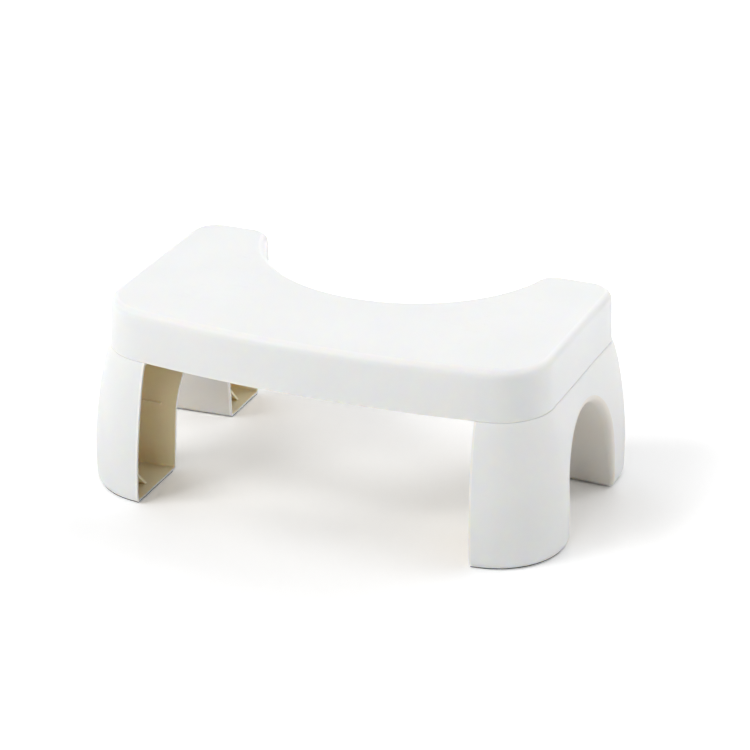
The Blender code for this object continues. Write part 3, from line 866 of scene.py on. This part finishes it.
def standing_places(finish):
    """A share for the two ovals on the deck where feet stand, which fades out at their edges."""
    tree = finish.tree
    along = calculate(tree, "SUBTRACT", calculate(tree, "ABSOLUTE", finish.x), STANDING_X)
    along = squared(tree, calculate(tree, "DIVIDE", along, STANDING_HALF_X))
    across = calculate(tree, "SUBTRACT", finish.y, STANDING_Y)
    across = squared(tree, calculate(tree, "DIVIDE", across, STANDING_HALF_Y))
    return ramp(tree, calculate(tree, "ADD", along, across), *STANDING_FADE)


def step_plastic():
    """The step's outside: pale, rubbed top edge with a painted highlight on its shoulder, scuffed standing
    places, faint lines over ribs and socket walls, and a lower rim painted cream as a glow of light."""
    finish = start_plastic("white_step_plastic", WHITE, OUTSIDE_ROUGHNESS)
    tree = finish.tree
    deck = zone(finish, DECK_ZONE)
    round_edge = product(tree, zone(finish, EDGE_ZONE), zone(finish, EDGE_ZONE_END))
    rubbed = blotches(finish, size=0.012, bare=0.42, full=0.62, detail=4.0)
    lay_mark(finish, product(tree, round_edge, rubbed), roughness=RUBBED_EDGE_ROUGHNESS)
    # Painted highlight: the shoulder between the rounded edge and the deck is whitened to stand for light on
    # it
    shoulder_highlight = product(tree, zone(finish, SHOULDER_HIGHLIGHT_ZONE), zone(finish, SHOULDER_HIGHLIGHT_ZONE_END))
    lay_mark(finish, shoulder_highlight, SHOULDER_HIGHLIGHT_WHITE)

    trodden = product(tree, standing_places(finish), deck)
    scratches = [fine_scratches(finish, turn) for turn in SCRATCH_TURNS]
    scratched = product(tree, calculate(tree, "MAXIMUM", *scratches), trodden)
    lay_mark(finish, scratched, SCRATCHED_WHITE, SCRATCHED_ROUGHNESS, strength=0.5)
    press(finish, scratched, -SCRATCH_DEPTH)
    polished = blotches(finish, size=0.02, bare=0.4, full=0.65)
    lay_mark(finish, product(tree, trodden, polished), roughness=POLISHED_ROUGHNESS)

    across = near(tree, repeated(tree, finish.x, 0.0, DECK_RIB_PITCH_X), 0.0, RIB_LINE_REACH)
    along = near(tree, repeated(tree, finish.y, BACK_Y, DECK_RIB_PITCH_Y), 0.0, RIB_LINE_REACH)
    sunk = product(tree, calculate(tree, "MAXIMUM", across, along), deck)
    press(finish, sunk, -RIB_LINE_DEPTH)
    socket_line = near(tree, calculate(tree, "ABSOLUTE", finish.x), SOCKET_WALL_X, SOCKET_LINE_REACH)
    press(finish, product(tree, socket_line, zone(finish, SKIRT_ZONE)), -SOCKET_LINE_DEPTH)
    # Painted glow: the skirt's lower rim is made cream to stand for light glowing out of the edge
    lay_mark(finish, ramp(tree, finish.z, *LOWER_RIM_GLOW), GLOW_CREAM, RIM_ROUGHNESS)
    return end_finish(finish)


def edge_distance(finish):
    """How far a place on a leg is from its open side's plane."""
    tree = finish.tree
    below_seam = calculate(tree, "SUBTRACT", SEAM_Z, finish.z)
    plane = calculate(tree, "ADD", product(tree, below_seam, math.tan(OPEN_SIDE_LEAN)), LEG_OPEN_X)
    return calculate(tree, "SUBTRACT", calculate(tree, "ABSOLUTE", finish.x), plane)


def leg_plastic(name, colour, roughness):
    """A leg's outside or arch: rubbed where it swells, dusty at the floor, painted cream at its open edge as
    a glow of light.
    """
    finish = start_plastic(name, colour, roughness)
    tree = finish.tree
    rubbed = blotches(finish, size=0.014, bare=0.45, full=0.62, detail=4.0)
    widest = near(tree, finish.z, LEG_WIDEST_HEIGHT, RUBBED_SWELL_REACH)
    lay_mark(finish, product(tree, widest, rubbed), roughness=roughness - RUBBED_CHANGE)
    low_down = ramp(tree, finish.z, DUST_TOP_Z, FOOT_Z)
    dusty = product(tree, low_down, blotches(finish, size=0.008, bare=0.3, full=0.7, detail=4.0))
    lay_mark(finish, dusty, shaded(colour, 0.93), DUSTY_ROUGHNESS, strength=0.5)
    # Painted glow: the open edge is made cream to stand for light glowing out of the cut plastic
    lay_mark(finish, ramp(tree, edge_distance(finish), *OPEN_EDGE_GLOW), GLOW_CREAM, RIM_ROUGHNESS)
    return end_finish(finish)


def pin_rings(finish):
    """A share for the rings that ejector pins leave under the deck, one in each rib cell."""
    tree = finish.tree
    squares = []
    for value, start, pitch in ((finish.x, 0.0, DECK_RIB_PITCH_X), (finish.y, BACK_Y, DECK_RIB_PITCH_Y)):
        away = calculate(tree, "SUBTRACT", repeated(tree, value, start, pitch), pitch / 2)
        squares.append(squared(tree, away))
    distance = calculate(tree, "SQRT", calculate(tree, "ADD", *squares))
    return product(tree, near(tree, distance, PIN_RADIUS, PIN_LINE_REACH), ramp(tree, finish.z, *UNDER_DECK))


def inside_plastic(name, colour):
    """Unpolished inside faces: draw marks up the walls, painted shade darkening the floors, pin rings under
    the deck.
    """
    finish = start_plastic(name, colour, INSIDE_ROUGHNESS)
    tree = finish.tree
    drawn = patches(tree, finish.place, DRAW_MARK_SIZE, 1.0)
    walls = ramp(tree, calculate(tree, "ABSOLUTE", finish.up), *WALL_ZONE)
    press(finish, product(tree, drawn, walls), DRAW_MARK_DEPTH)
    streaky = product(tree, ramp(tree, drawn, 0.45, 0.7), walls)
    lay_mark(finish, streaky, shaded(colour, 0.95), STREAK_ROUGHNESS, strength=0.35)
    # Painted shade: upward inside faces are darkened to stand for the shade that falls on them
    lay_mark(finish, zone(finish, INSIDE_FLOOR_SHADE_ZONE), shaded(colour, 0.92), strength=0.8)
    rings = pin_rings(finish)
    press(finish, rings, -PIN_DEPTH)
    lay_mark(finish, rings, shaded(colour, 0.85), PIN_ROUGHNESS, strength=0.3)
    return end_finish(finish)


def glowing_rim_plastic():
    """The cut faces round a leg's open side: painted pale cream as light glowing out of the edge, with the
    fine grooves of trimming.
    """
    finish = start_plastic("moulding_rim_painted_glow", GLOW_CREAM, RIM_ROUGHNESS)
    shader = finish.tree.nodes["Principled BSDF"]
    shader.inputs["Subsurface Scale"].default_value = 2 * MILKY_REACH
    grooves = patches(finish.tree, finish.place, GROOVE_SIZE, 1.0)
    press(finish, grooves, GROOVE_DEPTH)
    lay_mark(finish, ramp(finish.tree, grooves, 0.5, 0.8, 0.0, 0.4), shaded(GLOW_CREAM, 0.96), STREAK_ROUGHNESS)
    return end_finish(finish)


def pad_rubber():
    """Dark rubber: pebbled, dull, greyer where dust has rubbed in."""
    finish = start_finish("grey_rubber", RUBBER, RUBBER_ROUGHNESS)
    pebbles = patches(finish.tree, finish.place, PEBBLE_SIZE, 3.0)
    press(finish, pebbles, PEBBLE_DEPTH)
    worn = ramp(finish.tree, pebbles, 0.5, 0.75, 0.0, 0.5)
    lay_mark(finish, worn, WORN_RUBBER, WORN_RUBBER_ROUGHNESS)
    dusty = blotches(finish, size=0.011, bare=0.5, full=0.75, detail=4.0, most=0.5)
    lay_mark(finish, dusty, DUSTY_RUBBER, DUSTY_RUBBER_ROUGHNESS)
    return end_finish(finish)


def seen_ray(tree):
    """1 for what the camera sees, also in a reflection or through a clear body."""
    path = add_node(tree, "LightPath")
    seen = calculate(tree, "MAXIMUM", path.outputs["Is Camera Ray"], path.outputs["Is Glossy Ray"])
    return calculate(tree, "MAXIMUM", seen, path.outputs["Is Transmission Ray"])


def studio_floor():
    """A large pale floor that keeps the stool's shadow and shows white to the camera further out."""
    bm = bmesh.new()
    bmesh.ops.create_grid(bm, x_segments=1, y_segments=1, size=FLOOR_HALF)
    mesh = bpy.data.meshes.new("studio_floor")
    bm.to_mesh(mesh)
    bm.free()
    floor = bpy.data.objects.new("studio_floor", mesh)
    bpy.context.collection.objects.link(floor)
    material = bpy.data.materials.new("studio_floor")
    material.use_nodes = True
    tree = material.node_tree
    tree.nodes.clear()
    place = add_node(tree, "TexCoord").outputs["Object"]
    mottled = ramp(tree, patches(tree, place, FLOOR_MOTTLE_SIZE, 3.0), 0.35, 0.65)
    shade = mixed_colour(tree, mottled, FLOOR_SHADE, FLOOR_MOTTLE)
    away = add_node(tree, "VectorMath", {0: place}, operation="LENGTH").outputs["Value"]
    seen_lift = ramp(tree, away, FLOOR_FADE_START, FLOOR_FADE_END, FLOOR_LIFT, FLOOR_FADED_LIFT)
    lift = mixed(tree, seen_ray(tree), 1.0, seen_lift)
    shade = add_node(tree, "VectorMath", {0: shade, "Scale": lift}, operation="SCALE").outputs[0]
    grain = product(tree, patches(tree, place, FLOOR_GRAIN_SIZE), FLOOR_GRAIN_DEPTH)
    relief = add_node(tree, "Bump", {"Height": grain, "Distance": 1.0}).outputs[0]
    matt = add_node(tree, "BsdfDiffuse", {"Color": shade, "Normal": relief})
    add_node(tree, "OutputMaterial", {"Surface": matt.outputs[0]})
    mesh.materials.append(material)


def softbox(name, azimuth, elevation, power):
    """A large square lamp that points at the stool; azimuth 0 is in front of the bowed edge."""
    light = bpy.data.lights.new(name, "AREA")
    light.shape = "SQUARE"
    light.size = LAMP_SIZE
    light.energy = power
    lamp = bpy.data.objects.new(name, light)
    bpy.context.collection.objects.link(lamp)
    turn, rise = math.radians(azimuth), math.radians(elevation)
    away = Vector((math.sin(turn) * math.cos(rise), -math.cos(turn) * math.cos(rise), math.sin(rise)))
    lamp.location = away * LAMP_DISTANCE
    lamp.rotation_mode = "QUATERNION"
    lamp.rotation_quaternion = away.to_track_quat("Z", "Y")


def studio_light():
    """The softboxes, and a sky that is faint as a light but white to the camera."""
    for name, aim in LAMPS.items():
        softbox(name + "_softbox", *aim)
    world = bpy.data.worlds.new("studio")
    world.use_nodes = True
    tree = world.node_tree
    sky = tree.nodes["Background"]
    sky.inputs["Color"].default_value = (1, 1, 1, 1)
    tree.links.new(ramp(tree, seen_ray(tree), 0.0, 1.0, SKY_LIGHT, 1.0), sky.inputs["Strength"])
    bpy.context.scene.world = world


def photo_camera():
    """The photograph's viewpoint, fitted to the stool's outlines."""
    data = bpy.data.cameras.new("photo_camera")
    data.lens = CAMERA_LENS
    data.sensor_width = CAMERA_SENSOR
    eye = bpy.data.objects.new("photo_camera", data)
    bpy.context.collection.objects.link(eye)
    turn = Matrix.Rotation(math.radians(CAMERA_AZIMUTH), 4, "Z")
    tilt = Matrix.Rotation(math.pi / 2 - math.radians(CAMERA_ELEVATION), 4, "X")
    roll = Matrix.Rotation(math.radians(CAMERA_ROLL), 4, "Z")
    eye.matrix_world = Matrix.Translation(CAMERA_PLACE) @ (turn @ tilt @ roll)
    bpy.context.scene.camera = eye


leg_outside = leg_plastic("white_leg_plastic", WHITE, OUTSIDE_ROUGHNESS)
# The arch tunnel gets a darker, warmer copy of the leg plastic: painted shade
arch = leg_plastic("arch_plastic_painted_shade", ARCH_SHADED_WHITE, ARCH_ROUGHNESS)
# The rims' cream base colour is a painted glow of light
glowing_rim = glowing_rim_plastic()
rubber = pad_rubber()
# The legs' inside faces carry a painted warm tint of light from the same plastic
leg_inside_painted_glow = inside_plastic("leg_inside_painted_glow", LEG_INSIDE_GLOW_TINT)
# The step's inside faces carry a milder painted warm tint of light
step_inside_painted_glow = inside_plastic("step_inside_painted_glow", STEP_INSIDE_GLOW_TINT)

step = make_top(step_plastic(), step_inside_painted_glow)
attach(step, "step")
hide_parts("top")

right_leg = make_leg(leg_outside, leg_inside_painted_glow, arch, glowing_rim)
left_leg = mirrored(right_leg, "leg_moulding_left")
for leg, label in ((left_leg, "left"), (right_leg, "right")):
    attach(leg, label + "_frame")
    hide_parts("leg_" + label)

for foot in ("front", "back"):
    right_pad = make_pad("pad_%s_right" % foot, foot, rubber)
    left_pad = mirrored(right_pad, "pad_%s_left" % foot)
    for pad, label in ((left_pad, "left"), (right_pad, "right")):
        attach(pad, label + "_frame")
        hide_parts("foot_pad_%s_%s" % (foot, label))

studio_floor()
studio_light()
photo_camera()
bpy.context.scene.view_settings.view_transform = "Standard"
bpy.context.view_layer.update()
